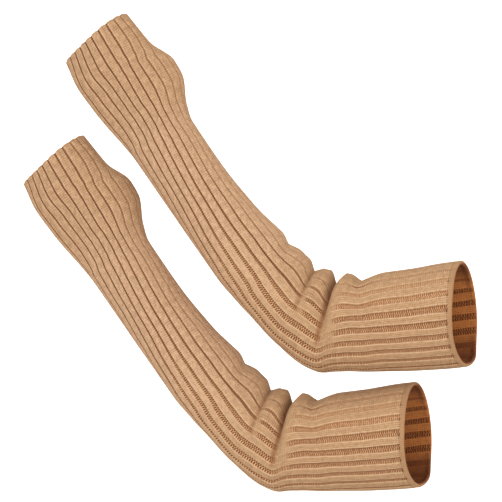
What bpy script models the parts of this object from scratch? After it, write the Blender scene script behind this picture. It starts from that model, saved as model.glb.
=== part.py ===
# A pair of rib-knit arm warmers, filled out as worn and bent at the elbow.
# Each is one knitted tube, open at both ends: a rolled edge round the upper arm,
# raised ribs all round, and a plain bound-off edge over the knuckles.
# Lengths are in millimetres, and become metres as the points are made.
# The origin is the middle of the upper warmer's elbow, +X runs towards its upper arm,
# +Z up, and -Y faces the viewer.

import math
from collections import namedtuple

import bpy
import numpy as np
from mathutils import Vector

MM = 0.001

# Cloth
RIBS = 22                 # all round, running the whole length
RIB_HEIGHT = 1.4          # how far a rib stands over the furrow beside it
WALL = 1.8                # cloth at the bottom of a furrow
FURROW_SHARE = 0.34       # share of one rib's pitch that its furrow takes
ROLLED_EDGE = 3.5         # width of the smooth edge round the upper arm

# Middle line of the arm, measured along it from the middle of the elbow
HAND_END = -364.0
MOUTH_END = 155.2
ELBOW_BEND = 120.0        # length over which the line turns
FOREARM_HEADING = -55.2   # degrees above +X, looking from the hand to the elbow
UPPER_ARM_HEADING = 7.0
FOREARM_LEAN = 6.5        # degrees by which the line comes towards the viewer
UPPER_ARM_LEAN = 15.0

# How the lower warmer lies from the upper one
PAIR_OFFSET = (-43.5, 19.0, -121.5)

YARN_COLOUR = (0.58, 0.37, 0.20, 1.0)
YARN_ROUGHNESS = 0.9

# One row for each section along the arm. inner and outer are the distances from the
# middle line to the inside and the outside of the elbow's bend, front is half the
# thickness from front to back, tilt and slant are degrees by which its inside leans
# towards the upper arm and its front towards the hand, and twist is where one furrow
# lies, in ribs counted from the inside of the bend over the front.
Section = namedtuple("Section", "along inner outer front tilt slant twist")
SECTIONS = [
    Section(-364, 38.5, 42.5, 28.0, -4.2, 0.0, 5.10),
    Section(-330, 41.0, 47.5, 26.0, -1.0, 0.0, 5.15),
    Section(-300, 51.0, 46.5, 23.5, 0.0, 0.0, 5.55),
    Section(-285, 49.8, 45.3, 23.0, 0.0, 0.0, 5.65),
    Section(-255, 35.8, 41.7, 24.0, 0.0, 0.0, 5.60),
    Section(-236, 30.5, 40.2, 25.0, 0.0, 0.0, 5.62),
    Section(-185, 29.8, 40.3, 30.0, 0.0, 0.0, 6.22),
    Section(-129, 33.7, 40.2, 33.0, 0.0, 0.0, 6.92),
    Section(-91, 41.0, 40.0, 36.3, 0.0, 0.0, 7.15),
    Section(-62, 46.5, 37.2, 38.0, 0.0, 0.0, 7.35),
    Section(-45, 48.0, 35.4, 39.0, 0.0, 0.0, 7.50),
    Section(-16, 51.0, 39.8, 41.0, 0.0, 0.0, 7.60),
    Section(10, 52.5, 47.7, 42.5, 0.0, 0.0, 7.45),
    Section(20, 53.3, 49.0, 43.5, 0.0, 0.0, 7.35),
    Section(32, 54.0, 45.0, 44.3, 0.0, 0.0, 7.20),
    Section(44, 53.5, 43.2, 45.0, 0.0, 0.0, 7.00),
    Section(64, 52.5, 44.4, 45.5, 0.0, 0.0, 6.85),
    Section(105, 53.0, 47.5, 46.5, 0.0, 0.0, 6.83),
    Section(143, 55.2, 48.6, 47.8, 2.0, 4.6, 6.83),
    Section(155.2, 55.3, 48.3, 48.0, 3.5, 7.3, 6.83),
]

# One row for each large fold, on the inside of the elbow. along is where it starts, and
# drift how far it has moved by its far end, reach degrees round the front and the back.
# before and after are its widths towards the hand and towards the upper arm.
Fold = namedtuple("Fold", "along drift depth before after reach")
FOLDS = [
    Fold(-77, 8, 4.5, 14, 15, 70),
    Fold(-29, 14, 7.5, 18, 13, 90),
    Fold(13, 6, 11.5, 18, 18, 130),
    Fold(57, -3, 6.0, 26, 30, 50),
]

# Rings of points: evenly along each straight stretch, given as first, last and step, and
# five to each fold, at its ends, its bottom and halfway
STRETCHES = [(-345, -245, 20), (-215, -102, 28), (105, 145, 20)]
FOLD_RINGS = (-1.0, -0.5, 0.0, 0.5, 1.0)


def clear_scene():
    for obj in list(bpy.data.objects):
        bpy.data.objects.remove(obj, do_unlink=True)


def smooth_column(rows, name, at):
    """The named column between rows, on a curve that never swings past its rows."""
    x = np.array([row.along for row in rows], float)
    y = np.array([getattr(row, name) for row in rows], float)
    step = np.diff(x)
    slope = np.diff(y) / step
    lean = np.zeros(len(x))
    for k in range(1, len(x) - 1):
        if slope[k - 1] * slope[k] > 0:
            lean[k] = 2 * slope[k - 1] * slope[k] / (slope[k - 1] + slope[k])
    lean[0], lean[-1] = slope[0], slope[-1]
    k = int(np.clip(np.searchsorted(x, at) - 1, 0, len(step) - 1))
    t = (at - x[k]) / step[k]
    rise = y[k + 1] - y[k]
    swing = step[k] * (lean[k] * t * (1 - t) ** 2 - lean[k + 1] * t * t * (1 - t))
    return y[k] + rise * t * t * (3 - 2 * t) + swing


def bend_share(along):
    return min(max(along / ELBOW_BEND + 0.5, 0.0), 1.0)


def heading_at(along):
    share = bend_share(along)
    return math.radians(FOREARM_HEADING + (UPPER_ARM_HEADING - FOREARM_HEADING) * share)


def direction_at(along):
    heading = heading_at(along)
    lean = math.radians(FOREARM_LEAN + (UPPER_ARM_LEAN - FOREARM_LEAN) * bend_share(along))
    level = math.cos(lean)
    return Vector((level * math.cos(heading), -math.sin(lean), level * math.sin(heading)))


def middle_at(along):
    """A point of the middle line, walked from the elbow in steps of about 1 mm."""
    steps = max(1, round(abs(along)))
    step = along / steps
    point = Vector((0.0, 0.0, 0.0))
    for k in range(steps):
        point += direction_at((k + 0.5) * step) * step
    return point


def section_at(along):
    return Section(along, *(smooth_column(SECTIONS, name, along) for name in Section._fields[1:]))


def fold_depth(along, angle):
    """How far the folds draw the cloth in, angle in degrees from the inside of the bend."""
    depth = 0.0
    for fold in FOLDS:
        share = angle / fold.reach
        if share >= 1:
            continue
        off = along - fold.along - fold.drift * share
        off = off / fold.after if off > 0 else -off / fold.before
        if off < 1:
            depth += fold.depth * (1 - off) ** 2 * (1 + off) * (1 - share * share) ** 2
    return depth


def angle_at(share, across, front):
    """The angle on an oval that is this share of the way round its edge."""
    angles = np.linspace(0, 2 * math.pi, 361)
    run = np.hypot(np.diff(across * np.cos(angles)), np.diff(front * np.sin(angles)))
    run = np.concatenate([[0], np.cumsum(run)])
    return float(np.interp(share % 1, run / run[-1], angles))


def ring_points(along, shares, drops):
    """One ring: a point for each share of the way round, set in from the ribs' tops."""
    section = section_at(along)
    direction = direction_at(along)
    heading = heading_at(along)
    square = Vector((-math.sin(heading), 0.0, math.cos(heading)))
    tilt, slant = math.radians(section.tilt), math.radians(section.slant)
    across = square * math.cos(tilt) + direction * math.sin(tilt)
    forward = direction.cross(square) * math.cos(slant) - direction * math.sin(slant)
    half = (section.inner + section.outer) / 2
    centre = middle_at(along) + across * (section.inner - section.outer) / 2
    points = []
    for share, drop in zip(shares, drops):
        angle = angle_at(share, half, section.front)
        out = across * ((half - drop) * math.cos(angle))
        out += forward * ((section.front - drop) * math.sin(angle))
        turned = math.degrees(min(angle, 2 * math.pi - angle))
        out -= out.normalized() * fold_depth(along, turned)
        points.append((centre + out) * MM)
    return points


def outer_ring(along):
    """Three points for each rib: the bottom of a furrow and the two sides of the rib."""
    edge = FURROW_SHARE / 2
    plain = along > MOUTH_END - ROLLED_EDGE
    twist = section_at(along).twist
    shares = [(twist + k + part) / RIBS for k in range(RIBS) for part in (0, edge, 1 - edge)]
    drops = [0 if plain or part else RIB_HEIGHT for k in range(RIBS) for part in (0, 1, 1)]
    return ring_points(along, shares, drops)


def inner_ring(along):
    twist = section_at(along).twist
    shares = [(twist + k) / RIBS for k in range(RIBS)]
    return ring_points(along, shares, [RIB_HEIGHT + WALL] * RIBS)


def ring_places():
    places = [HAND_END, MOUTH_END - ROLLED_EDGE - 0.5, MOUTH_END - ROLLED_EDGE + 0.5, MOUTH_END]
    for first, last, step in STRETCHES:
        places += range(first, last + 1, step)
    for fold in FOLDS:
        places += [fold.along + (fold.after if k > 0 else fold.before) * k for k in FOLD_RINGS]
    return sorted(places)


def side_faces(first, second, count, outward):
    """Quads between two rings of the same count, given by their first points."""
    faces = []
    for k in range(count):
        after = (k + 1) % count
        quad = (first + k, first + after, second + after, second + k)
        faces.append(quad if outward else quad[::-1])
    return faces


def edge_faces(outer, inner, outward):
    """The cut edge between an outer ring and an inner one, four triangles for each rib."""
    faces = []
    for k in range(RIBS):
        o = [outer + (3 * k + j) % (3 * RIBS) for j in range(4)]
        i = [inner + (k + j) % RIBS for j in range(2)]
        for face in ((i[0], o[0], o[1]), (i[0], o[1], o[2]), (i[0], o[2], i[1]), (i[1], o[2], o[3])):
            faces.append(face if outward else face[::-1])
    return faces


def warmer_mesh():
    places = ring_places()
    points, outer_starts, inner_starts = [], [], []
    for along in places:
        outer_starts.append(len(points))
        points += outer_ring(along)
    for along in places:
        inner_starts.append(len(points))
        points += inner_ring(along)
    faces = []
    for k in range(len(places) - 1):
        faces += side_faces(outer_starts[k], outer_starts[k + 1], 3 * RIBS, True)
        faces += side_faces(inner_starts[k], inner_starts[k + 1], RIBS, False)
    faces += edge_faces(outer_starts[0], inner_starts[0], False)
    faces += edge_faces(outer_starts[-1], inner_starts[-1], True)
    mesh = bpy.data.meshes.new("warmer")
    mesh.from_pydata(points, [], faces)
    mesh.shade_smooth()
    mesh.set_sharp_from_angle(angle=math.radians(50))
    return mesh


def yarn_material():
    material = bpy.data.materials.new("camel_wool_knit")
    material.use_nodes = True
    shader = material.node_tree.nodes["Principled BSDF"]
    shader.inputs["Base Color"].default_value = YARN_COLOUR
    shader.inputs["Roughness"].default_value = YARN_ROUGHNESS
    shader.inputs["Metallic"].default_value = 0.0
    return material


def main():
    clear_scene()
    mesh = warmer_mesh()
    mesh.materials.append(yarn_material())
    for name, offset in (("warmer_upper", (0, 0, 0)), ("warmer_lower", PAIR_OFFSET)):
        warmer = bpy.data.objects.new(name, mesh)
        warmer.location = Vector(offset) * MM
        bpy.context.scene.collection.objects.link(warmer)


main()
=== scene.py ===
# A pair of rib-knit arm warmers in camel wool, filled out as worn and bent at the elbow.
# Sizes are in millimetres until a mesh is made, and the frame is the CAD model's.

import math
from collections import namedtuple

import bpy
import numpy as np
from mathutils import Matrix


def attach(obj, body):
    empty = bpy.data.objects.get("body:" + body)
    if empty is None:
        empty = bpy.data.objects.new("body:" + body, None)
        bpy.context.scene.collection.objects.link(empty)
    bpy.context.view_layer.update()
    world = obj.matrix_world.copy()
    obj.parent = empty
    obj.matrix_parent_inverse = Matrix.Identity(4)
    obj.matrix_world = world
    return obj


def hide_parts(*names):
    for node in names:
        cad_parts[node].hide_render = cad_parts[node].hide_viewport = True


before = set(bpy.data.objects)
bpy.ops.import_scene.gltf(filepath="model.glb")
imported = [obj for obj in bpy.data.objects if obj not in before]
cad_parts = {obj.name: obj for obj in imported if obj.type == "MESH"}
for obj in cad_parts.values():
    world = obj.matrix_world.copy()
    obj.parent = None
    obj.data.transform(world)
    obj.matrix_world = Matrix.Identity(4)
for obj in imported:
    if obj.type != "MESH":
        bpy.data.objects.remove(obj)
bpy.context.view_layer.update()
mm = 0.001
print("CAD model loaded")


# Middle line of the arm, measured along it from the middle of the elbow
arm = {
    "handEnd": -364.0,
    "mouthEnd": 155.2,
    "bendLength": 120.0,         # the line turns over this length
    "forearmHeading": -55.2,     # degrees above +X, from the hand to the elbow
    "upperArmHeading": 7.0,
    "forearmLean": 6.5,          # degrees by which the line comes towards the viewer
    "upperArmLean": 15.0,
    "lowerOffset": (-43.5, 19.0, -121.5),      # the lower warmer's elbow from the upper one's
    "lowerTurn": 0.55,           # degrees it is turned by, so that its hand lies further out
}

# inner and outer are the distances from the middle line to the inside and the outside of the
# elbow's bend, front is half the thickness, tilt and slant are degrees by which the inside
# leans towards the upper arm and the front towards the hand, and twist is where one furrow
# lies on the back, in ribs counted from the inside of the bend over the front
Section = namedtuple("Section", "along inner outer front tilt slant twist")
sections = [
    Section(-364, 38.5, 42.5, 28.0, -4.2, 0.0, 5.10),
    Section(-330, 41.0, 47.5, 26.0, -1.0, 0.0, 5.15),
    Section(-300, 51.0, 46.5, 23.5, 0.0, 0.0, 5.55),
    Section(-285, 49.8, 45.3, 23.0, 0.0, 0.0, 5.65),
    Section(-255, 35.8, 41.7, 24.0, 0.0, 0.0, 5.60),
    Section(-236, 30.5, 40.2, 25.0, 0.0, 0.0, 5.62),
    Section(-185, 29.8, 40.3, 30.0, 0.0, 0.0, 6.22),
    Section(-129, 33.7, 40.2, 33.0, 0.0, 0.0, 6.92),
    Section(-91, 41.0, 40.0, 36.3, 0.0, 0.0, 7.15),
    Section(-62, 46.5, 37.2, 38.0, 0.0, 0.0, 7.35),
    Section(-45, 48.0, 35.4, 39.0, 0.0, 0.0, 7.50),
    Section(-16, 49.8, 39.8, 41.0, 0.0, 0.0, 7.60),
    Section(10, 53.8, 47.7, 42.5, 0.0, 0.0, 7.45),
    Section(20, 54.0, 49.0, 43.5, 0.0, 0.0, 7.35),
    Section(32, 53.6, 45.0, 44.3, 0.0, 0.0, 7.20),
    Section(44, 53.2, 43.2, 45.0, 0.0, 0.0, 7.00),
    Section(64, 52.5, 44.4, 45.5, 0.0, 0.0, 6.85),
    Section(105, 53.0, 47.5, 46.5, 0.0, 0.0, 6.95),
    Section(143, 55.2, 48.6, 47.8, 2.0, 4.6, 7.08),
    Section(155.2, 55.3, 48.3, 48.0, 3.5, 7.3, 7.08),
]

# Where that furrow lies on the front: at its inner side, its middle and its outer side
Lie = namedtuple("Lie", "along inner middle outer")
lies = [
    Lie(-364, 4.80, 4.88, 4.20),
    Lie(-340, 4.68, 4.94, 4.66),
    Lie(-324, 5.05, 5.10, 4.88),
    Lie(-311, 5.84, 5.48, 4.96),
    Lie(-300, 6.03, 5.74, 5.06),
    Lie(-280, 6.00, 5.86, 5.02),
    Lie(-264, 6.00, 5.52, 4.93),
    Lie(-250, 5.86, 5.37, 5.00),
    Lie(-236, 5.72, 5.47, 5.42),
    Lie(-216, 5.88, 5.78, 5.57),
    Lie(-192, 6.23, 6.15, 5.68),
    Lie(-160, 6.67, 6.47, 6.15),
    Lie(-130, 6.85, 6.85, 6.70),
    Lie(-100, 7.28, 7.13, 7.12),
    Lie(-72, 7.70, 7.45, 7.48),
    Lie(-48, 7.38, 7.70, 7.95),
    Lie(-20, 7.70, 7.80, 8.10),
    Lie(0, 7.52, 7.68, 7.85),
    Lie(16, 7.66, 7.90, 7.80),
    Lie(28, 7.44, 7.52, 7.12),
    Lie(40, 7.18, 7.13, 6.86),
    Lie(56, 7.26, 6.86, 6.64),
    Lie(74, 6.90, 6.80, 6.42),
    Lie(105, 6.76, 6.80, 6.36),
    Lie(155, 6.76, 6.80, 6.38),
]

# The ribs: half a furrow's width as a share of one rib's pitch, narrow at the sides of the
# tube and wide where the cloth is stretched most, which is centre ribs from the inside of the
# bend and spread ribs to each side. depth is how far a furrow lies under the rib's top, crown
# how much that top rounds off, course one row's height, and inside and outside how strong a
# furrow is at those sides
Rib = namedtuple("Rib", "along narrow wide centre spread depth crown course inside outside")
ribs = [
    Rib(-364, 0.074, 0.068, 5.0, 4.0, 1.3, 0.75, 2.40, 0.55, 1.00),
    Rib(-300, 0.070, 0.064, 5.0, 4.0, 1.3, 0.70, 2.40, 0.50, 1.00),
    Rib(-262, 0.066, 0.064, 5.0, 4.0, 1.3, 0.70, 2.38, 0.45, 0.90),
    Rib(-240, 0.064, 0.068, 5.5, 4.5, 1.2, 0.65, 2.35, 0.35, 0.80),
    Rib(-150, 0.060, 0.086, 6.5, 4.0, 1.2, 0.60, 2.35, 0.30, 0.70),
    Rib(-110, 0.064, 0.130, 7.2, 3.8, 1.3, 0.50, 2.30, 0.28, 0.75),
    Rib(-70, 0.066, 0.190, 7.5, 3.6, 1.4, 0.45, 2.30, 0.25, 0.80),
    Rib(-30, 0.068, 0.230, 7.5, 3.6, 1.5, 0.40, 2.25, 0.25, 0.85),
    Rib(10, 0.090, 0.220, 7.0, 4.0, 1.4, 0.40, 2.20, 0.20, 0.90),
    Rib(40, 0.105, 0.215, 6.0, 4.5, 1.3, 0.30, 2.18, 0.25, 1.00),
    Rib(70, 0.110, 0.225, 5.2, 4.5, 1.4, 0.25, 2.18, 0.35, 1.00),
    Rib(160, 0.110, 0.225, 5.2, 4.5, 1.4, 0.25, 2.18, 0.40, 1.00),
]

# The folds on the inside of the elbow: along is where a fold starts, drift how far it has
# moved by its far end, reach degrees round the front and the back. before and after are its
# widths towards the hand and the upper arm, lap how far its far lip hangs over it, and smooth
# over what length the cloth past it is stretched flat
Fold = namedtuple("Fold", "along drift depth before after reach lap smooth")
folds = [
    Fold(-78, 8, 4.5, 14, 15, 70, 0.0, 0),
    Fold(-28.5, 18, 7.2, 20, 13, 104, 4.0, 12),
    Fold(15.5, 4.0, 16.5, 21, 13, 126, 5.0, 22),
    Fold(55, -3, 6.0, 20, 28, 50, 0.0, 0),
]

knit = {
    "ribCount": 22,
    "ribWales": 4,            # knit columns on a rib's top
    "furrowWales": 3,         # purl columns in a furrow
    "cloth": 1.9,             # thickness of the wall between its two faces
    "lip": 0.22,              # how far a rib's edges stand over its top
    "weltWidth": 4.0,         # the smooth rolled edge round the upper arm
    "weltProud": 0.1,
    "weltRound": 1.6,         # how far its end rounds out
    "weltRoll": 2.3,          # and how far it is rolled in, but for a stretch behind
    "unrolledAt": (262, 48),  # degrees round to that stretch's middle, and its width
    "furrowEnd": 1.9,         # how far a furrow's corners round off before the rolled edge
    "sway": 0.02,             # how far a furrow strays from its line, in ribs
    "shutWidth": 0.07,        # a furrow of this half width shows no stitches
    "openingWidth": 0.12,     # and one this much wider shows them all
    "innerShift": 1.3,        # ribs by which the inner face's widest furrows lie further out
    "mouthCorner": 2.3,       # how far the mouth squares out behind, at its outer side
    "cornerAt": (205, 19),    # degrees round to that corner's middle, and its width
    "mouthDip": 2.3,          # how far the mouth's front is drawn in
    "handDip": 1.9,           # and the front of the hand's edge
    "dipAt": (118, 38),       # degrees round to the middle of both, and their width
    "handBulge": 0.5,         # how far the hand's edge rounds out
    "scallop": 0.9,           # and how much further it does on each rib
    "backFolds": 0.8,         # depth of the folds on the back against the front's
    "flatSize": (0.24, 0.52),  # one warmer laid flat: all round it, and its length, in metres
}

# The shade in a fold, under the lip that hangs over it
creases = {
    "place": -2.5,            # where it is deepest, from the fold's own line
    "before": 4.2,            # its width towards the hand
    "narrowing": 1.4,         # how much narrower that becomes round the front
    "after": 2.6,             # its width towards the upper arm
    "fullDepth": 16,          # a fold as deep as this is in full shade
}

# The furrow on the inside, above the elbow, that shows darker than those beside it
darkFurrow = {"along": 56, "length": 13, "rib": 2.0, "width": 0.6, "strength": 0.7}

# Places along the arm a millimetre apart, from past the hand to past the mouth
millimetres = np.arange(-400.0, 201.0)


def smoothCurve(x, y, at):
    # a curve through the points that never swings past them
    step = np.diff(x)
    slope = np.diff(y) / step
    lean = np.zeros(len(x))
    before, after = slope[:-1], slope[1:]
    rising = before * after > 0
    lean[1:-1][rising] = 2 * before[rising] * after[rising] / (before[rising] + after[rising])
    lean[0], lean[-1] = slope[0], slope[-1]
    k = np.clip(np.searchsorted(x, at) - 1, 0, len(step) - 1)
    t = (at - x[k]) / step[k]
    swing = step[k] * (lean[k] * t * (1 - t) ** 2 - lean[k + 1] * t * t * (1 - t))
    return y[k] + (y[k + 1] - y[k]) * t * t * (3 - 2 * t) + swing


def smoothColumn(rows, name, at):
    x = np.array([row.along for row in rows], float)
    return smoothCurve(x, np.array([getattr(row, name) for row in rows], float), at)


def readColumns(rows, names, at):
    return [float(smoothColumn(rows, name, at)) for name in names.split()]


def easeIn(value, low, high):
    t = np.clip((value - low) / (high - low), 0, 1)
    return t * t * (3 - 2 * t)


def bell(value, middle, width):
    return np.exp(-((value - middle) / width) ** 2)


def armHeading(along):
    bend = np.clip(along / arm["bendLength"] + 0.5, 0, 1)
    heading = arm["forearmHeading"] + (arm["upperArmHeading"] - arm["forearmHeading"]) * bend
    lean = arm["forearmLean"] + (arm["upperArmLean"] - arm["forearmLean"]) * bend
    return np.radians(heading), np.radians(lean)


def armDirection(along):
    heading, lean = armHeading(along)
    level = np.cos(lean)
    return np.stack([level * np.cos(heading), -np.sin(lean), level * np.sin(heading)], -1)


def armMiddle(along):
    # walked in steps of a millimetre, and read between them
    walked = np.cumsum(armDirection(millimetres[:-1] + 0.5), axis=0)
    walked = np.vstack([np.zeros(3), walked])
    walked -= walked[millimetres == 0]
    return np.stack([np.interp(along, millimetres, walked[:, k]) for k in range(3)], -1)


def ovalAngle(share, half, front):
    # the angle on an oval that is this share of the way round its edge
    angles = np.linspace(0, 2 * math.pi, 361)
    run = np.hypot(np.diff(half * np.cos(angles)), np.diff(front * np.sin(angles)))
    run = np.concatenate([[0], np.cumsum(run)])
    return np.interp(share % 1, run / run[-1], angles)


def foldPull(along, angle):
    # how far the folds draw the cloth in, and how far a lip is carried towards the hand
    turned = np.minimum(angle, 360 - angle)
    side = np.where(angle > 180, knit["backFolds"], 1.0)
    depth = np.zeros_like(turned)
    lap = np.zeros_like(turned)
    for fold in folds:
        share = np.clip(turned / fold.reach, 0, 1)
        place = along - fold.along - fold.drift * share
        off = np.clip(np.where(place > 0, place / fold.after, -place / fold.before), 0, 1)
        fade = (1 - share ** 3) ** 2 * (1 - easeIn(turned, 0, 40) * (1 - side))
        depth += fold.depth * (1 - off) ** 2 * (1 + off) * fade
        over = np.clip(place / (2.2 * fold.after), 0, 1)
        hump = 6.75 * over * (1 - over) ** 2      # 1 high, a third of the way over
        lap += fold.lap * hump * easeIn(turned, 5, 50) * np.sqrt(fade)
    return depth, lap


def creaseShade(along, angle):
    # how deep in a fold's shade the cloth lies
    turned = np.minimum(angle, 360 - angle)
    shade = np.zeros_like(turned)
    for fold in folds:
        if fold.lap:
            share = np.clip(turned / fold.reach, 0, 1)
            place = along - fold.along - fold.drift * share
            before = creases["before"] - creases["narrowing"] * easeIn(share, 0.3, 0.7)
            width = np.where(place < creases["place"], before, creases["after"])
            near = bell(place, creases["place"], width)
            near *= (0.6 + 0.4 * easeIn(turned, 15, 80)) * (1 - easeIn(share, 0.85, 1.0))
            shade = np.maximum(shade, near * math.sqrt(fold.depth / creases["fullDepth"]))
    return shade


def furrowLie(along, share):
    # where one furrow lies at this share of the way round, in ribs
    inner, middle, outer = readColumns(lies, "inner middle outer", along)
    back = float(smoothColumn(sections, "twist", along))
    knots = np.array([-0.59, -0.25, 0.09, 0.25, 0.41, 0.75, 1.09, 1.25])
    values = np.array([outer, back, inner, middle, outer, back, inner, middle])
    return smoothCurve(knots, values, share % 1)


def furrowShare(along, place):
    # the share of the way round of a place counted in ribs from that furrow, which settles
    # in a few rounds
    share = place / knit["ribCount"] + 0.3
    for settling in range(8):
        share = (place + furrowLie(along, share)) / knit["ribCount"]
    return share


def fromInside(share):
    # ribs from the inside of the bend, the same on the front and the back
    ribsRound = (share % 1) * knit["ribCount"]
    return np.minimum(ribsRound, knit["ribCount"] - ribsRound)


def furrowWidth(along, share, shift=0.0):
    narrow, wide, centre, spread = readColumns(ribs, "narrow wide centre spread", along)
    off = np.clip(np.abs(fromInside(share) - centre - shift) / spread, 0, 1)
    width = narrow + (wide - narrow) * (1 - off ** 2) ** 2
    return width * (1 + 0.06 * np.sin(along / 6.5 + 9 * np.round(share * knit["ribCount"])))


def furrowStrength(along, share, angle):
    # furrows fade towards the inside and the outside of the arm, and where the cloth is
    # stretched smooth past the deepest fold
    inside, outside = readColumns(ribs, "inside outside", along)
    place = fromInside(share)
    strength = 1 - (1 - inside) * (1 - easeIn(place, 1.5, 5.0))
    strength -= (1 - outside) * easeIn(place, 8.3, 10.2)
    strength *= 0.25 + 0.75 * easeIn(place, 0.4, 1.7)
    dark = darkFurrow["strength"] * bell(along, darkFurrow["along"], darkFurrow["length"])
    strength += dark * bell(place, darkFurrow["rib"], darkFurrow["width"])
    turned = np.minimum(angle, 360 - angle)
    for fold in folds:
        if fold.smooth:
            past = along - fold.along - fold.drift * np.clip(turned / fold.reach, 0, 1)
            length = fold.smooth * (1 + 0.6 * (1 - easeIn(place, 2.0, 3.5)))
            smooth = easeIn(past, -4, 1) * (1 - easeIn(past, 0.4 * length, length))
            smooth *= 1 - easeIn(turned, 0.75 * fold.reach, 1.15 * fold.reach)
            strength = strength * (1 - 0.85 * smooth)
    return np.clip(strength, 0, 1)


def furrowSway(along, rib):
    # small waves that differ from furrow to furrow
    rib = rib % knit["ribCount"]
    waves = np.sin(along / 9.5 + 2.1 * rib) + 0.8 * np.sin(along / 23.0 + 1.3 * rib)
    return knit["sway"] * waves


def clothWale(local, left, right):
    # which knitted column a place across the pitch lies in
    half = knit["furrowWales"] / 2
    top = (local - left) / (1 - left - right) * knit["ribWales"] + half
    last = half + knit["ribWales"] + (local - 1 + right) / right * half
    return np.where(local < left, local / left * half, np.where(local > 1 - right, last, top))


def courseCount(along):
    # how many rows of stitches there are from beyond the hand up to this place
    height = smoothColumn(ribs, "course", millimetres[:-1] + 0.5)
    counted = np.concatenate([[0], np.cumsum(1 / height)])
    return np.interp(along, millimetres, counted)


def outerPlaces():
    # rings of the outer face, closer over the folds and closest at the rolled edge
    weltStart = arm["mouthEnd"] - knit["weltWidth"]
    stretches = [
        np.arange(arm["handEnd"], -101, 2.1),
        np.arange(-100, 75, 1.5),
        np.arange(75, weltStart - 5, 2.3),
        weltStart + np.array([-4.2, -3.2, -2.4, -1.8, -1.2, -0.7, -0.2, 0.3, 0.9, 1.6, 2.3]),
    ]
    return np.concatenate(stretches)


def innerPlaces():
    # rings of the inner face, which has fewer, from the mouth back to the hand
    stretches = [
        arm["mouthEnd"] - knit["weltRound"] - np.array([0.1, 1.0, 2.0, 3.0, 4.2, 6.0]),
        np.linspace(145, 90, 8),
        np.linspace(82, -95, 50),
        np.linspace(-110, arm["handEnd"] + 1.0, 14),
    ]
    return np.concatenate(stretches)


# Places across one rib, in half widths of the furrow beside it, and then over its top
nearFurrow = np.array([0.0, 0.5, 0.85, 1.2, 1.7])
overTop = np.array([0.25, 0.5, 0.75])


def clothRow(along, inner):
    # all that one ring of the cloth needs: its columns, how far each lies under the plain
    # tube, and its marks for the material
    count = knit["ribCount"]
    half = sum(readColumns(sections, "inner outer", along)) / 2
    front = float(smoothColumn(sections, "front", along))
    depth, crown = readColumns(ribs, "depth crown", along)
    shift = knit["innerShift"] if inner else 0.0
    width = furrowWidth(along, furrowShare(along, np.arange(count + 1.0)), shift)
    left, right = width[:-1, None], width[1:, None]
    lead, tail = nearFurrow * left, 1 - nearFurrow[:0:-1] * right
    top = lead[:, -1:] + (tail[:, :1] - lead[:, -1:]) * overTop
    local = np.hstack([lead, top, tail])      # across one rib's pitch, from furrow to furrow
    rib = np.repeat(np.arange(count)[:, None], local.shape[1], axis=1)
    wale = clothWale(local, left, right) + rib * (knit["ribWales"] + knit["furrowWales"])
    fromLeft = (local / left).ravel()         # in half widths of that furrow
    away = np.minimum(local / left, (1 - local) / right).ravel()
    widthHere = left * (1 - local) + right * local
    stretch = np.clip((widthHere - knit["shutWidth"]) / knit["openingWidth"], 0, 1).ravel()
    local, rib, wale = local.ravel(), rib.ravel(), wale.ravel()
    sway = furrowSway(along, rib) * (1 - local) + furrowSway(along, rib + 1) * local

    share = furrowShare(along, rib + local + sway)
    angle = ovalAngle(share, half, front)
    strength = furrowStrength(along, share, np.degrees(angle))
    toWelt = arm["mouthEnd"] - knit["weltWidth"] - along
    roundOff = knit["furrowEnd"] * (1 - np.sqrt(1 - np.clip(away / 1.3, 0, 1) ** 2))
    strength = strength * (1.0 if inner else easeIn(toWelt - roundOff, -0.2, 0.9))
    wall = easeIn(away, 0.3, 1.5)
    off = np.minimum(local, 1 - local)
    drop = depth * (1 - wall) + crown * (1 - 2 * off) ** 2 * wall
    drop = (drop - knit["lip"] * bell(away, 1.7, 0.45)) * strength
    welt = 1 - float(easeIn(toWelt, -0.6, 0.5))
    if inner:
        rolled = 1 - bell(np.degrees(angle), *knit["unrolledAt"])
        rolled *= 1 - easeIn(abs(toWelt + 2.4), 0.5, 3.6)
        drop = knit["cloth"] + 0.8 * drop * (1 - welt) + knit["weltRoll"] * rolled
    else:
        groove = 0.3 * bell(toWelt, 0.2, 0.6)      # notched between the stitches
        groove *= 1 - 0.5 * np.cos(2 * math.pi * (wale + 0.5))
        drop = drop * (1 - welt) - knit["weltProud"] * welt + groove
    hole = bell(fromLeft, 0.7, 0.5) * bell(toWelt, 1.7, 0.9)
    marks = {"ribbed": strength, "stretch": stretch, "hole": hole * stretch * (not inner),
             "welt": np.full(len(local), welt * (not inner)),
             "end": np.full(len(local), bell(toWelt, 0.8, 0.9))}
    return {"along": along, "angle": angle, "local": local, "drop": drop,
            "push": np.zeros(len(local)), "wale": wale, "marks": marks, "inner": inner}


def rimRows(first, last, end, bulge, atMouth):
    # the rounded edge between the two faces, as half a turn in a few rings
    rows = []
    for degrees in (30, 60, 90, 120, 150):
        row = dict(first)
        turn = math.radians(degrees)
        middle = (first["drop"] + last["drop"]) / 2
        half = (last["drop"] - first["drop"]) / 2
        row["drop"] = middle - half * math.cos(turn)
        row["along"] = end
        row["push"] = bulge * math.sin(turn)
        row["inner"] = float(atMouth and degrees > 90)
        if atMouth and 60 <= degrees <= 90:      # behind, the inner face shows over the rim
            row["inner"] = 0.8 * easeIn(-np.sin(first["angle"]), 0.0, 0.5)
        rows.append(row)
    return rows


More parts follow.
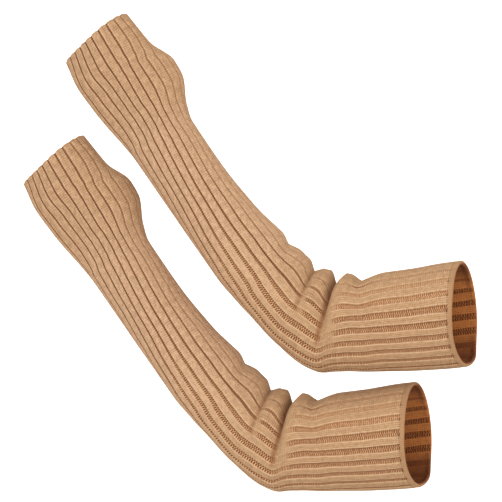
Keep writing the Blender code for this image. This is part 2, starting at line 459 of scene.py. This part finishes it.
def clothRows():
    outer = [clothRow(along, False) for along in outerPlaces()]
    inner = [clothRow(along, True) for along in innerPlaces()]
    mouthEnd = arm["mouthEnd"] - knit["weltRound"]
    mouth = rimRows(outer[-1], inner[0], mouthEnd, knit["weltRound"], True)
    onRib = np.sin(math.pi * outer[0]["local"])
    rounded = knit["handBulge"] + knit["scallop"] * onRib ** 0.7
    hand = rimRows(inner[-1], outer[0], arm["handEnd"], -rounded, False)
    return outer + mouth + inner + hand


def rowPoints(row):
    along = row["along"]
    inner, outer, front, tilt, slant = readColumns(sections, "inner outer front tilt slant", along)
    tilt, slant = math.radians(tilt), math.radians(slant)
    heading, lean = armHeading(along)
    direction = armDirection(along)
    square = np.array([-math.sin(heading), 0.0, math.cos(heading)])
    across = square * math.cos(tilt) + direction * math.sin(tilt)
    forward = np.cross(direction, square) * math.cos(slant) - direction * math.sin(slant)
    half = (inner + outer) / 2
    centre = armMiddle(along) + across * (inner - outer) / 2
    drop = row["drop"]
    out = across * ((half - drop) * np.cos(row["angle"]))[:, None]
    out = out + forward * ((front - drop) * np.sin(row["angle"]))[:, None]
    angle = np.degrees(row["angle"])
    depth, lap = foldPull(along, angle)
    corner = knit["mouthCorner"] * easeIn(along, 110, 150) * bell(angle, *knit["cornerAt"])
    out += out / np.linalg.norm(out, axis=1)[:, None] * (0.35 * corner - depth)[:, None]
    dip = knit["handDip"] * easeIn(-along, 325, 360) * bell(angle, *knit["dipAt"])
    dip -= knit["mouthDip"] * easeIn(along, 115, 150) * bell(angle, *knit["dipAt"])
    return centre + out + direction * (row["push"] - lap + dip + corner)[:, None]


def addLayer(mesh, name, values):
    layer = mesh.attributes.new(name, "FLOAT", "POINT")
    layer.data.foreach_set("value", np.ascontiguousarray(values, np.float32).ravel())


def faceCorners(values, onRight):
    # the values at the corners of each face, from those in its column and the next one
    above = [np.roll(column, -1, axis=0) for column in (onRight, values)]
    return np.stack([values, onRight] + above, -1)


def makeWarmer(name, offset, turn, rows):
    x, y, z = np.moveaxis(np.array([rowPoints(row) for row in rows]), -1, 0)
    level, rise = math.cos(math.radians(turn)), math.sin(math.radians(turn))
    points = np.stack([x * level - z * rise, y, x * rise + z * level], -1) + np.array(offset)
    rowCount, columnCount = points.shape[:2]
    index = np.arange(rowCount * columnCount).reshape(rowCount, columnCount)
    quads = faceCorners(index, np.roll(index, -1, axis=1))
    mesh = bpy.data.meshes.new(name)
    mesh.from_pydata((points * mm).reshape(-1, 3).tolist(), [], quads.reshape(-1, 4).tolist())

    wale = np.array([row["wale"] for row in rows])
    course = np.repeat([[courseCount(row["along"])] for row in rows], columnCount, axis=1)
    around = knit["ribCount"] * (knit["ribWales"] + knit["furrowWales"])
    waleRight = np.roll(wale, -1, axis=1)
    waleRight[:, -1] += around
    uv = np.stack([faceCorners(wale, waleRight), faceCorners(course, course)], -1)
    mesh.uv_layers.new(name="stitches").data.foreach_set("uv", uv.astype(np.float32).ravel())

    for layer in rows[0]["marks"]:
        addLayer(mesh, layer, [row["marks"][layer] for row in rows])

    # for the material: the inner face, painted shade in the folds, where the stitches are drawn open
    # on the upper arm and painted shade towards the hand, painted shade at the top and bottom of the
    # hollow, and painted light on the furrows towards the inside of the bend
    addLayer(mesh, "inside", [row["inner"] * np.ones(columnCount) for row in rows])
    addLayer(mesh, "creasePaintedShade", [creaseShade(row["along"], np.degrees(row["angle"])) for row in rows])
    along = np.array([row["along"] for row in rows])
    # darker tops where the stitches are drawn open on the upper arm, and painted shade towards the
    # hand
    drawnOpenAndPaintedShade = easeIn(along, -110, 20) + 0.6 * easeIn(-along, 230, 290)
    addLayer(mesh, "drawnOpenAndPaintedShade", np.repeat(drawnOpenAndPaintedShade, columnCount))
    # painted shade inside the hollow, towards its top and bottom
    addLayer(mesh, "deep", [np.abs(np.cos(row["angle"] - 0.1)) for row in rows])
    # painted light on the furrows towards the inside of the bend
    addLayer(mesh, "lit", [easeIn(np.cos(row["angle"]), 0.05, 0.75) for row in rows])
    mesh.shade_smooth()
    warmer = bpy.data.objects.new(name, mesh)
    bpy.context.scene.collection.objects.link(warmer)
    return warmer


# Yarn: colours are linear, and heights in metres
yarn = {
    "top": (0.70, 0.448, 0.275, 1.0),
    "drawnOpenAndPaintedShadeTop": (0.59, 0.368, 0.202, 1.0),       # darker where the stitches are drawn open on the upper arm, and painted shade towards the hand
    "gap": (0.24, 0.105, 0.042, 1.0),            # between two stitches
    # painted shade in the furrows, darkest in the narrow ones
    "thinFurrowPaintedShade": (0.165, 0.050, 0.011, 1.0),
    "wideFurrowPaintedShade": (0.19, 0.068, 0.022, 1.0),
    "litFurrowPaintedShade": (0.29, 0.125, 0.048, 1.0),      # less painted shade, towards the inside of the bend
    "bar": (0.82, 0.49, 0.265, 1.0),             # a purl stitch's bar in a wide furrow
    "shoulderPaintedHighlight": (0.75, 0.51, 0.315, 1.0),        # painted highlight on the column along a furrow's edge
    # painted shade in the creases of the folds
    "creasePaintedShade": (0.25, 0.097, 0.034, 1.0),
    "hole": (0.08, 0.028, 0.008, 1.0),           # where a furrow ends at the rolled edge
    "welt": (0.47, 0.265, 0.136, 1.0),
    # the inner face, darker and redder than the outer: painted shade inside the tube
    "insideTopPaintedShade": (0.60, 0.215, 0.060, 1.0),
    "insideFurrowPaintedShade": (0.12, 0.032, 0.008, 1.0),
    "insideHollowPaintedShade": (0.16, 0.045, 0.012, 1.0),     # painted shade towards the bottom and the top of the hollow
    "roughness": 0.95,
    "sheen": 0.05,
    "sheenRoughness": 0.5,
    "sheenTint": (1.0, 0.85, 0.7, 1.0),
    "specular": 0.2,
    "stitchHeight": 0.0008,
    "bump": 0.7,
    "unevenness": 0.5,                           # how far the stitches stray, in rows
    "legLean": 0.75,                             # rows by which a knit stitch's legs slant
    "barLean": 0.22,                             # and a purl bar, for each column it crosses
}

# How much of the colour below each mark covers
cover = {
    "shoulderPaintedHighlight": 0.7,
    "gap": 0.85,
    "lastRow": 0.8,                              # the holes along the rolled edge
    "bar": 0.9,
    "shadedEdge": 0.4,
    "creasePaintedShade": 0.78,
    "insideGap": 0.5,
    "insideBar": 0.7,
    "insideHollowPaintedShade": 0.85,
}


def mathNode(tree, operation, *values):
    node = tree.nodes.new("ShaderNodeMath")
    node.operation = operation
    for socket, value in zip(node.inputs, values):
        if isinstance(value, bpy.types.NodeSocket):
            tree.links.new(value, socket)
        else:
            socket.default_value = value
    return node.outputs[0]


def mixColour(tree, share, first, second, blend="MIX"):
    node = tree.nodes.new("ShaderNodeMix")
    node.data_type = "RGBA"
    node.blend_type = blend
    for number, value in ((0, share), (6, first), (7, second)):
        socket = node.inputs[number]
        if isinstance(value, bpy.types.NodeSocket):
            tree.links.new(value, socket)
        else:
            socket.default_value = value
    return node.outputs[2]


def layerValue(tree, name):
    node = tree.nodes.new("ShaderNodeAttribute")
    node.attribute_name = name
    return node.outputs["Fac"]


def easeNode(tree, value, low, high, first=0.0, last=1.0):
    # from first to last as value goes from low to high
    node = tree.nodes.new("ShaderNodeMapRange")
    node.interpolation_type = "SMOOTHSTEP"
    tree.links.new(value, node.inputs["Value"])
    limits = {"From Min": low, "From Max": high, "To Min": first, "To Max": last}
    for name, number in limits.items():
        node.inputs[name].default_value = number
    return node.outputs["Result"]


def noiseValue(tree, vector, scale, detail):
    node = tree.nodes.new("ShaderNodeTexNoise")
    tree.links.new(vector, node.inputs["Vector"])
    node.inputs["Scale"].default_value = scale
    node.inputs["Detail"].default_value = detail
    return node.outputs["Fac"]


def easeColour(tree, value, low, high, first, last):
    # the same, as a grey
    node = tree.nodes.new("ShaderNodeCombineColor")
    shade = easeNode(tree, value, low, high, first, last)
    for socket in node.inputs:
        tree.links.new(shade, socket)
    return node.outputs[0]


def ribKnitMaterial():
    material = bpy.data.materials.new("camelRibKnit")
    material.use_nodes = True
    tree = material.node_tree
    shader = tree.nodes["Principled BSDF"]

    def calc(operation, *values):
        return mathNode(tree, operation, *values)

    def times(first, *others):
        for other in others:
            first = calc("MULTIPLY", first, other)
        return first

    def wave(turns):
        return calc("COSINE", times(turns, 2 * math.pi))

    stitchMap = tree.nodes.new("ShaderNodeUVMap")
    stitchMap.uv_map = "stitches"
    stitches = stitchMap.outputs[0]
    parts = tree.nodes.new("ShaderNodeSeparateXYZ")
    tree.links.new(stitches, parts.inputs[0])
    wale, course = parts.outputs[0], parts.outputs[1]
    layers = ("ribbed", "stretch", "hole", "welt", "end", "inside", "creasePaintedShade", "drawnOpenAndPaintedShade", "deep", "lit")
    ribbed, stretch, hole, welt, end, inside, creasePaintedShade, drawnOpenAndPaintedShade, deep, lit = (
        layerValue(tree, name) for name in layers)
    space = tree.nodes.new("ShaderNodeTexCoord").outputs["Object"]
    uneven = noiseValue(tree, stitches, 0.45, 3.0)       # changes over a few stitches
    dots = noiseValue(tree, stitches, 0.8, 1.0)          # and here over one or two
    fuzz = noiseValue(tree, space, 900.0, 3.0)           # single fibres

    # columns: how far from the middle of a furrow, and the lines between two columns
    pitch = float(knit["ribWales"] + knit["furrowWales"])
    inRib = calc("FLOORED_MODULO", wale, pitch)
    fromFurrow = calc("MINIMUM", inRib, calc("SUBTRACT", pitch, inRib))
    inColumn = calc("FRACT", calc("ADD", wale, 0.5))
    acrossColumn = calc("ABSOLUTE", calc("SUBTRACT", times(inColumn, 2.0), 1.0))
    betweenColumns = calc("POWER", acrossColumn, 3.0)
    columnLine = times(betweenColumns, calc("ADD", 0.35, times(drawnOpenAndPaintedShade, 0.75)))

    # knit stitches: two legs to a column, slanting up from its middle
    wobble = times(calc("SUBTRACT", uneven, 0.5), yarn["unevenness"])
    courseHere = calc("ADD", course, wobble)
    legs = wave(calc("ADD", courseHere, times(acrossColumn, yarn["legLean"])))
    legGap = times(calc("SUBTRACT", 1.0, legs), 0.5)
    legGap = times(calc("POWER", legGap, 1.5), easeNode(tree, stretch, 0.0, 1.0, 1.0, 0.6))
    knitGap = calc("MAXIMUM", columnLine, legGap)
    knitGap = times(knitGap, easeNode(tree, uneven, 0.3, 0.7, 0.45, 1.0))
    knitGap = calc("MAXIMUM", knitGap, easeNode(tree, dots, 0.46, 0.36, 0.0, 0.5))

    # purl stitches: leaning bars across the furrow, fuller towards the inside of the bend as painted
    # light
    bars = wave(calc("ADD", courseHere, times(inRib, yarn["barLean"])))
    bar = easeNode(tree, calc("ADD", bars, times(lit, 0.35)), -0.3, 0.9)
    bar = times(bar, easeNode(tree, dots, 0.38, 0.54, 0.5, 1.0),
                easeNode(tree, stretch, 0.0, 0.7, 0.4, 1.0))
    shadedEdge = times(easeNode(tree, inRib, 5.3, 5.7), easeNode(tree, inRib, 6.5, 6.0))

    # where a furrow lies, and the column along its edge that gets a painted highlight, in columns
    # from the furrow's middle
    plain = calc("SUBTRACT", 1.0, welt)
    inFurrow = times(easeNode(tree, fromFurrow, 1.75, 1.35), easeNode(tree, ribbed, 0.0, 0.95),
                     plain)
    # the painted highlight lies on one side of each furrow, and on the other too along the upper arm
    # and partly at the hand
    litSide = calc("MAXIMUM", easeNode(tree, inRib, 3.0, 4.0), drawnOpenAndPaintedShade)
    paintedHighlightMask = times(easeNode(tree, fromFurrow, 1.45, 1.8), easeNode(tree, fromFurrow, 2.6, 2.2),
                       litSide, ribbed)

    # relief
    height = calc("SUBTRACT", 1.0, times(knitGap, plain))
    height = times(height, calc("SUBTRACT", 1.0, inFurrow))
    height = calc("ADD", height, times(bar, inFurrow))
    height = calc("ADD", height, times(fuzz, 0.25))
    knobs = times(wave(wale), 0.5)
    height = calc("ADD", height, times(knobs, calc("MAXIMUM", welt, end)))
    bump = tree.nodes.new("ShaderNodeBump")
    bump.inputs["Strength"].default_value = yarn["bump"]
    bump.inputs["Distance"].default_value = yarn["stitchHeight"]
    tree.links.new(height, bump.inputs["Height"])
    tree.links.new(bump.outputs[0], shader.inputs["Normal"])

    # colours of the outer face: ribs with painted highlights along the furrows, furrows in painted
    # shade, the rolled edge and painted shade in the creases
    top = mixColour(tree, drawnOpenAndPaintedShade, yarn["top"], yarn["drawnOpenAndPaintedShadeTop"])
    top = mixColour(tree, times(paintedHighlightMask, cover["shoulderPaintedHighlight"]), top, yarn["shoulderPaintedHighlight"])
    knitted = mixColour(tree, times(knitGap, plain, cover["gap"]), top, yarn["gap"])
    lastRow = times(betweenColumns, end, cover["lastRow"])
    knitted = mixColour(tree, lastRow, knitted, yarn["hole"])
    # furrow floors in painted shade: less of it towards the inside of the bend, most where a furrow
    # is narrow
    floor = mixColour(tree, lit, yarn["wideFurrowPaintedShade"], yarn["litFurrowPaintedShade"])
    floor = mixColour(tree, stretch, yarn["thinFurrowPaintedShade"], floor)
    purled = mixColour(tree, times(bar, cover["bar"]), floor, yarn["bar"])
    purled = mixColour(tree, times(shadedEdge, cover["shadedEdge"]), purled, yarn["thinFurrowPaintedShade"])
    outside = mixColour(tree, inFurrow, knitted, purled)
    lumps = times(betweenColumns, easeNode(tree, uneven, 0.3, 0.7, 0.1, 0.45))
    outside = mixColour(tree, welt, outside, mixColour(tree, lumps, yarn["welt"], yarn["gap"]))
    outside = mixColour(tree, hole, outside, yarn["hole"])
    # painted shade in the folds' creases, under the lips that hang over them
    withCreasePaintedShade = mixColour(tree, times(creasePaintedShade, cover["creasePaintedShade"]), outside, yarn["creasePaintedShade"])

    # and of the inner face, in painted shade, deepest at the top and bottom of the hollow
    ribInside, furrowInside = yarn["insideTopPaintedShade"], yarn["insideFurrowPaintedShade"]
    insideTopPaintedShade = mixColour(tree, times(knitGap, cover["insideGap"]), ribInside, furrowInside)
    insideBar = mixColour(tree, times(bar, cover["insideBar"]), furrowInside, ribInside)
    within = mixColour(tree, inFurrow, insideTopPaintedShade, insideBar)
    shaded = easeNode(tree, deep, 0.4, 0.9, 0.0, cover["insideHollowPaintedShade"])
    within = mixColour(tree, shaded, within, yarn["insideHollowPaintedShade"])

    colour = mixColour(tree, inside, withCreasePaintedShade, within)
    colour = mixColour(tree, 1.0, colour, easeColour(tree, fuzz, 0.2, 0.8, 0.90, 1.10), "MULTIPLY")
    tree.links.new(colour, shader.inputs["Base Color"])
    shader.inputs["Roughness"].default_value = yarn["roughness"]
    shader.inputs["Sheen Weight"].default_value = yarn["sheen"]
    shader.inputs["Sheen Roughness"].default_value = yarn["sheenRoughness"]
    shader.inputs["Sheen Tint"].default_value = yarn["sheenTint"]
    shader.inputs["Specular IOR Level"].default_value = yarn["specular"]
    return material


rows = clothRows()
print("Cloth:", len(rows), "rings of", len(rows[0]["local"]), "points")
ribKnit = ribKnitMaterial()
for name, offset, turn, node in (
        ("knitWarmerUpper", (0, 0, 0), 0.0, "warmer_upper"),
        ("knitWarmerLower", arm["lowerOffset"], arm["lowerTurn"], "warmer_lower")):
    warmer = makeWarmer(name, offset, turn, rows)
    warmer.data.materials.append(ribKnit)
    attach(warmer, "root")
    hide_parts(node)
    print(name, "made,", len(warmer.data.polygons) * 2, "triangles")


# A white floor that sweeps up behind the warmers, soft light from one side, and two lamps
studio = {
    "floorHeight": -450.0,
    "floorSize": 9000.0,
    "wallHeight": 5000.0,
    "sweepRadius": 900.0,
    "white": (0.93, 0.93, 0.93, 1.0),
    "sweepSteps": 16,
    "glow": 0.6,                       # keeps the floor white and free of shadows
    "brightSide": (-0.55, -0.78, 0.30),  # the soft light comes from here
    "brightSky": (1.0, 0.99, 0.96, 1.0),
    "dimSky": (0.53, 0.42, 0.285, 1.0),
    "skyStrength": 1.12,
    "lights": [                        # place, size and power in watts
        ((-1350.0, -1700.0, 800.0), 1300.0, 10.0),
        ((1500.0, -1700.0, 350.0), 1500.0, 14.0),
    ],
}


def makeFloor():
    bpy.ops.object.select_all(action="DESELECT")
    size, high = studio["floorSize"] * mm, studio["floorHeight"] * mm
    bpy.ops.mesh.primitive_plane_add(size=size, location=(0, 0, high))
    floor = bpy.context.object
    floor.name = "studioFloor"
    bpy.ops.object.mode_set(mode="EDIT")
    bpy.ops.mesh.select_mode(type="EDGE")
    bpy.ops.mesh.select_all(action="DESELECT")
    bpy.ops.object.mode_set(mode="OBJECT")
    for edge in floor.data.edges:
        ends = [floor.data.vertices[k].co.y for k in edge.vertices]
        edge.select = min(ends) > size * 0.49      # the far edge, which the wall rises from
    rise = (0, 0, studio["wallHeight"] * mm)
    bpy.ops.object.mode_set(mode="EDIT")
    bpy.ops.mesh.extrude_region_move(TRANSFORM_OT_translate={"value": rise})
    bpy.ops.object.mode_set(mode="OBJECT")
    bevel = floor.modifiers.new("sweep", "BEVEL")
    bevel.width = studio["sweepRadius"] * mm
    bevel.segments = studio["sweepSteps"]
    bpy.ops.object.modifier_apply(modifier=bevel.name)
    bpy.ops.object.shade_smooth()
    floor.visible_diffuse = False      # the sky's dim side lights the warmers from below
    material = bpy.data.materials.new("studioWhite")
    material.use_nodes = True
    shader = material.node_tree.nodes["Principled BSDF"]
    shader.inputs["Base Color"].default_value = studio["white"]
    shader.inputs["Roughness"].default_value = 1.0
    shader.inputs["Emission Color"].default_value = (1, 1, 1, 1)
    shader.inputs["Emission Strength"].default_value = studio["glow"]
    floor.data.materials.append(material)


def makeSky():
    world = bpy.data.worlds.new("studioSky")
    world.use_nodes = True
    tree = world.node_tree
    sky = tree.nodes["Background"]
    aside = tree.nodes.new("ShaderNodeVectorMath")
    aside.operation = "DOT_PRODUCT"
    tree.links.new(tree.nodes.new("ShaderNodeTexCoord").outputs["Generated"], aside.inputs[0])
    aside.inputs[1].default_value = studio["brightSide"]
    shade = easeNode(tree, aside.outputs["Value"], -0.9, 0.9)
    tree.links.new(mixColour(tree, shade, studio["dimSky"], studio["brightSky"]), sky.inputs["Color"])
    sky.inputs["Strength"].default_value = studio["skyStrength"]
    bpy.context.scene.world = world


def makeLights():
    for place, width, power in studio["lights"]:
        bpy.ops.object.light_add(type="AREA", location=[v * mm for v in place])
        light = bpy.context.object
        light.data.size = width * mm
        light.data.energy = power
        light.rotation_euler = light.location.to_track_quat("Z", "Y").to_euler()


# Level, looking along +Y, and 1.6 m in front: one millimetre is one pixel there
view = {"place": (-61.0, -1600.0, 67.0), "across": 502.0, "sensor": 36.0}


def makeCamera():
    place = [v * mm for v in view["place"]]
    bpy.ops.object.camera_add(location=place, rotation=(math.pi / 2, 0, 0))
    camera = bpy.context.object
    camera.data.sensor_width = view["sensor"]
    camera.data.lens = view["sensor"] * -view["place"][1] / view["across"]
    bpy.context.scene.camera = camera


makeFloor()
makeSky()
makeLights()
makeCamera()
bpy.context.scene.view_settings.view_transform = "Standard"
print("Studio and camera made")
